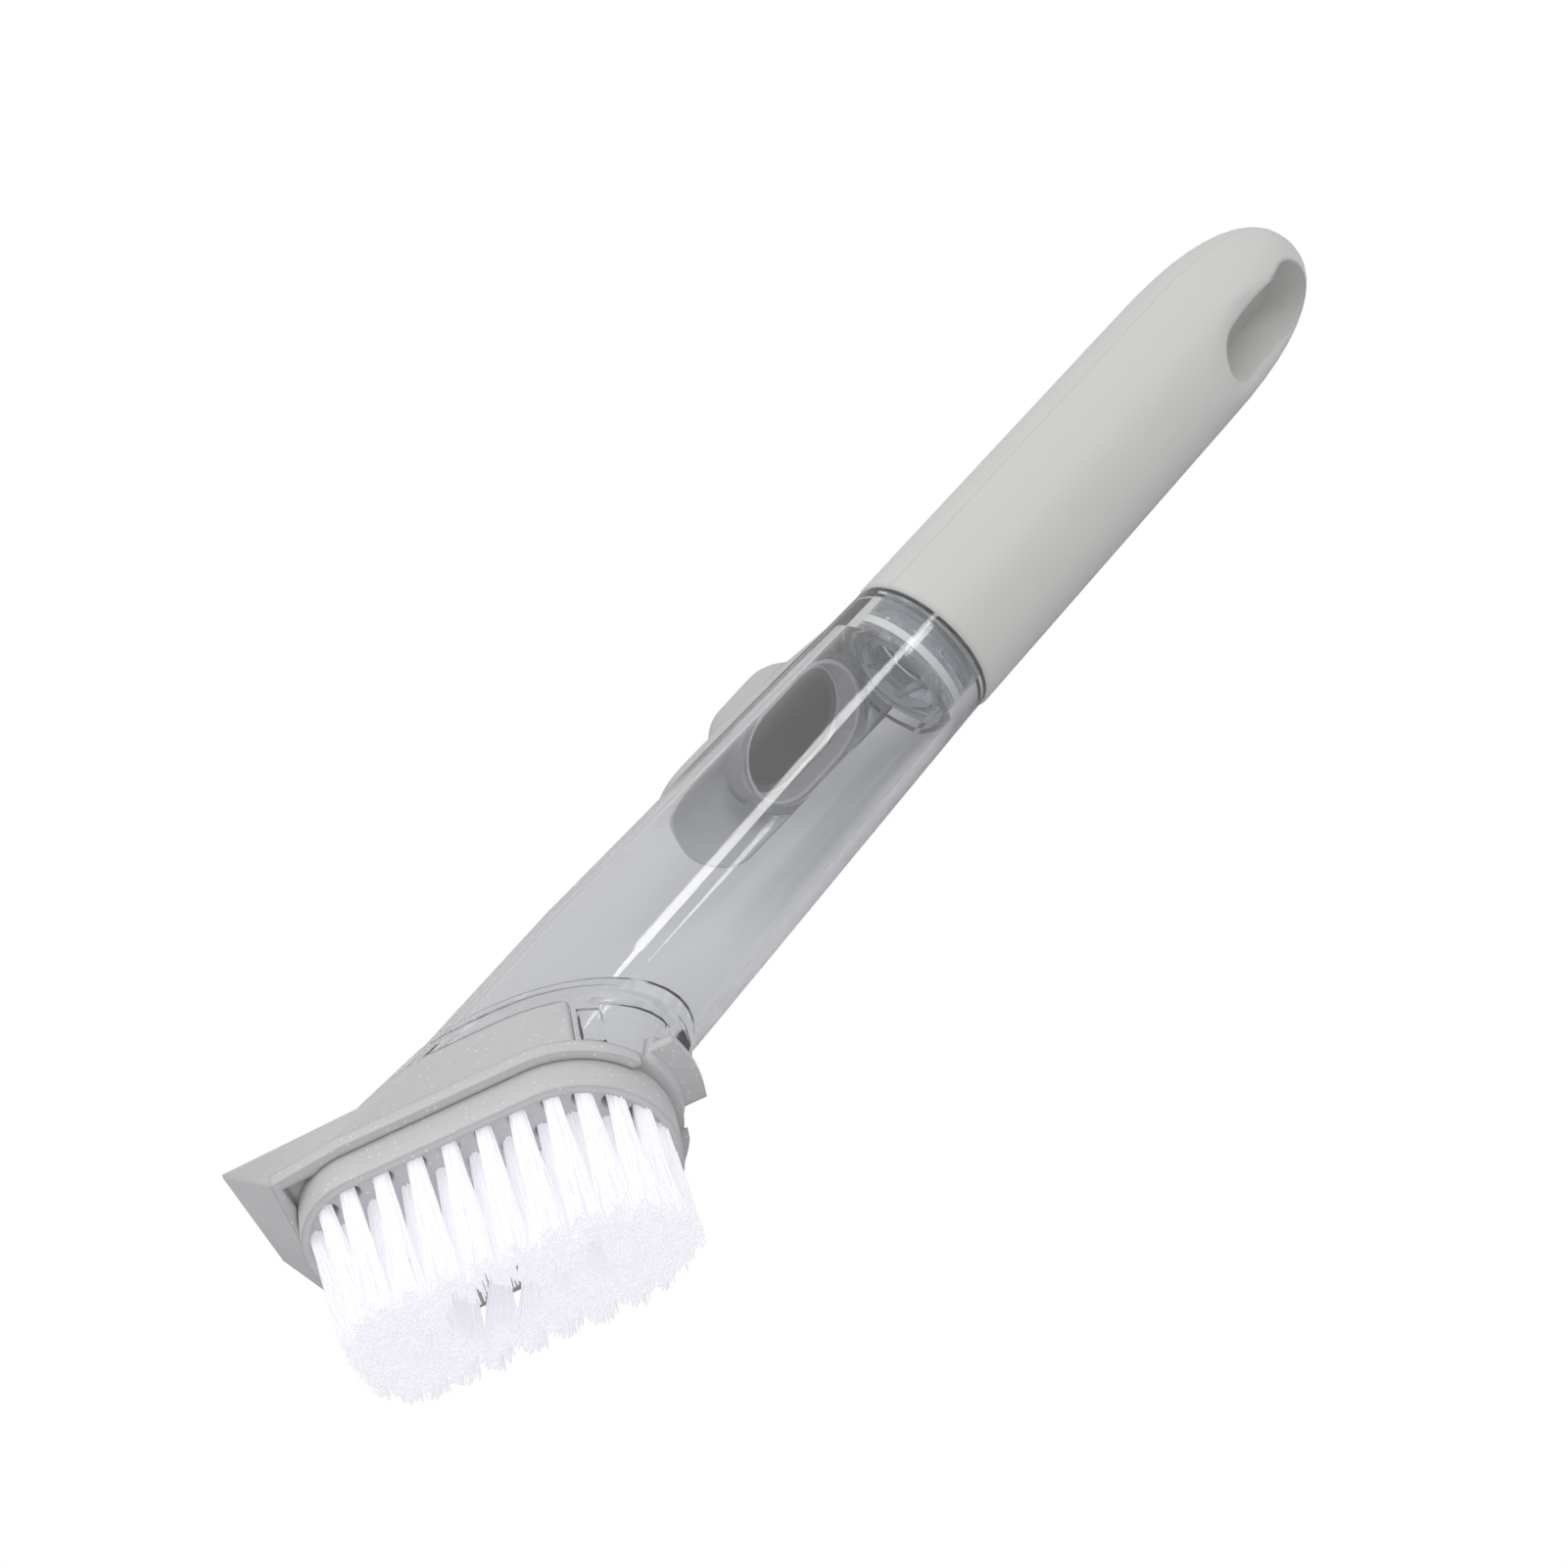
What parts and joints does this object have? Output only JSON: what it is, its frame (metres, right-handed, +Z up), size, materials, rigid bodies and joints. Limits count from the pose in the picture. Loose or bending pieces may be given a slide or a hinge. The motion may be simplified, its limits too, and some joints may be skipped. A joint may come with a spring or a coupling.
{
  "type": "dish wand",
  "caption": "Dish wand with a clear soap barrel, soft handle with a hang hole, push button, angled head and a removable bristle plate.",
  "frame": {"origin": "The middle of the hang hole, on the barrel's axis.", "axes": "The wand lies on its right side. The barrel's axis is X, with the handle towards +X and the head towards -X. The button faces +Y, and the bristles point towards -Y and a little towards -X. +Z is up and runs across the head, from its right side to its left."},
  "size_m": [0.2646, 0.0778, 0.037],
  "materials": {
    "clear_plastic": "clear, polished",
    "soft_grey": "matte elastomer",
    "soft_light": "satin soft-touch elastomer",
    "head_plastic": "satin with fine metallic flecks",
    "inner_plastic": "moulded",
    "seal_rubber": "moulded",
    "valve_silicone": "translucent silicone",
    "staple_wire": "drawn wire",
    "bristles": "crimped nylon filaments"
  },
  "bodies": {
    "wand": {"barrel": "clear_plastic", "button_panel": "soft_grey", "button_web": "soft_grey", "head_base": "head_plastic", "foot_gasket": "seal_rubber", "outlet_valve": "valve_silicone", "valve_retainer": "inner_plastic"},
    "button": {"button_dome": "soft_grey"},
    "neck_ring": {"neck_seal_ring": "valve_silicone"},
    "handle": {"grip": "soft_light", "handle_core": "inner_plastic"},
    "brush": {"brush_plate": "head_plastic", "tuft_staples": "staple_wire", "outer_tufts_left": "bristles", "outer_tufts_right": "bristles", "outer_tufts_heel": "bristles", "outer_tufts_toe": "bristles", "middle_tufts_left": "bristles", "middle_tufts_right": "bristles", "middle_tufts_heel": "bristles", "middle_tufts_toe": "bristles", "inner_tufts_left": "bristles", "inner_tufts_right": "bristles", "inner_tufts_ends": "bristles"}
  },
  "joints": [
    {"name": "button_press", "type": "slide", "parent": "wand", "child": "button", "axis": [0, -1, 0], "range_m": [0, 0.0035], "stiffness_N_per_m": 2500, "deforming": ["button_web"]},
    {"name": "handle_lift", "type": "slide", "parent": "wand", "child": "neck_ring", "axis": [1, 0, 0], "range_m": [0, 0.005]},
    {"name": "handle_turn", "type": "hinge", "parent": "neck_ring", "child": "handle", "pos_m": [-0.09, 0, 0], "axis": [1, 0, 0], "range_deg": [0, 720]},
    {"name": "brush_release", "type": "slide", "parent": "wand", "child": "brush", "axis": [-0.6074, -0.7944, 0], "range_m": [0, 0.012]}
  ],
  "couplings": [
    {"joint": "handle_lift", "follows": "handle_turn", "m_per_rad": 0.00039789}
  ]
}
